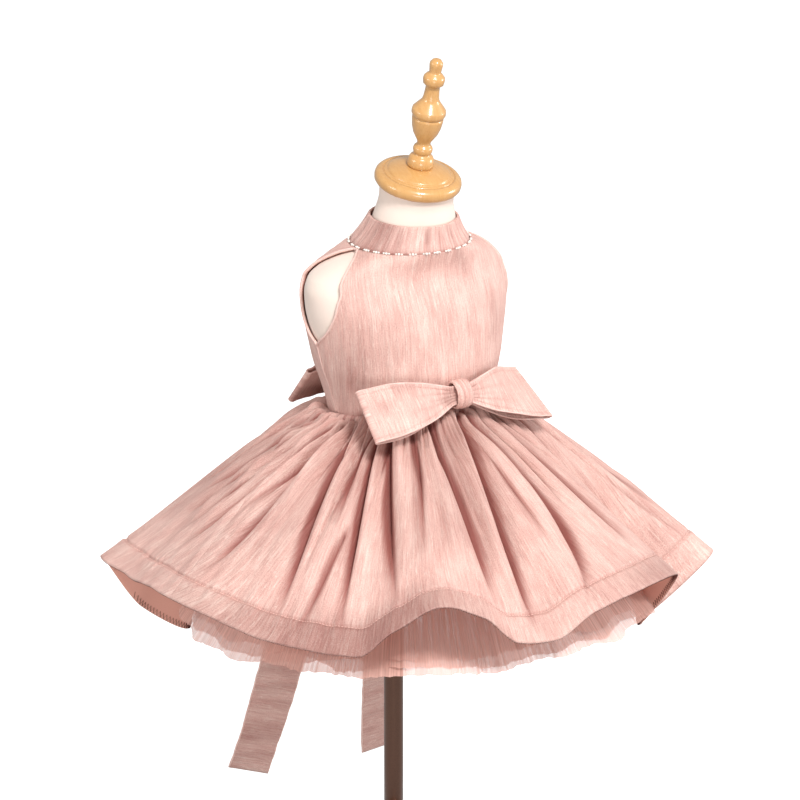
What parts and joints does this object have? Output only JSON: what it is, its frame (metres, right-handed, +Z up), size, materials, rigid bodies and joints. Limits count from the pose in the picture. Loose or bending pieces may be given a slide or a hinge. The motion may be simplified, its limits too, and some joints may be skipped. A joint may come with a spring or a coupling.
{
  "type": "toddler party dress on a dress form",
  "caption": "Sleeveless high-collar toddler party dress with a gathered skirt, tulle petticoat, waist bows and sash tails, on a limbless dress form with a post and round base.",
  "frame": {"origin": "centre of the stand's underside", "axes": "+Z up, the wearer faces -Y and the wearer's left is +X"},
  "size_m": [0.6002, 0.6419, 0.9915],
  "materials": {
    "velvet": "crinkled pale pink velvet with a soft sheen",
    "tulle": "soft pink tulle",
    "button": "pearly",
    "form_cotton": "cream cotton cover",
    "turned_wood": "lacquered beech",
    "stand_metal": "glossy dark bronze"
  },
  "bodies": {
    "root": {"bodice_front": "velvet", "bodice_back_left": "velvet", "bodice_back_right": "velvet", "collar": "velvet", "back_placket": "velvet", "back_button_1": "button", "back_button_2": "button", "back_button_3": "button", "back_button_4": "button", "skirt_front": "velvet", "skirt_back": "velvet", "petticoat": "tulle", "front_bow_right_loop": "velvet", "front_bow_left_loop": "velvet", "front_bow_knot": "velvet", "back_bow_right_loop": "velvet", "back_bow_left_loop": "velvet", "back_bow_knot": "velvet", "sash_tail_right": "velvet", "sash_tail_left": "velvet", "form_torso": "form_cotton", "neck_cap": "turned_wood", "finial": "turned_wood", "stand_base": "stand_metal", "stand_post": "stand_metal"}
  },
  "joints": []
}
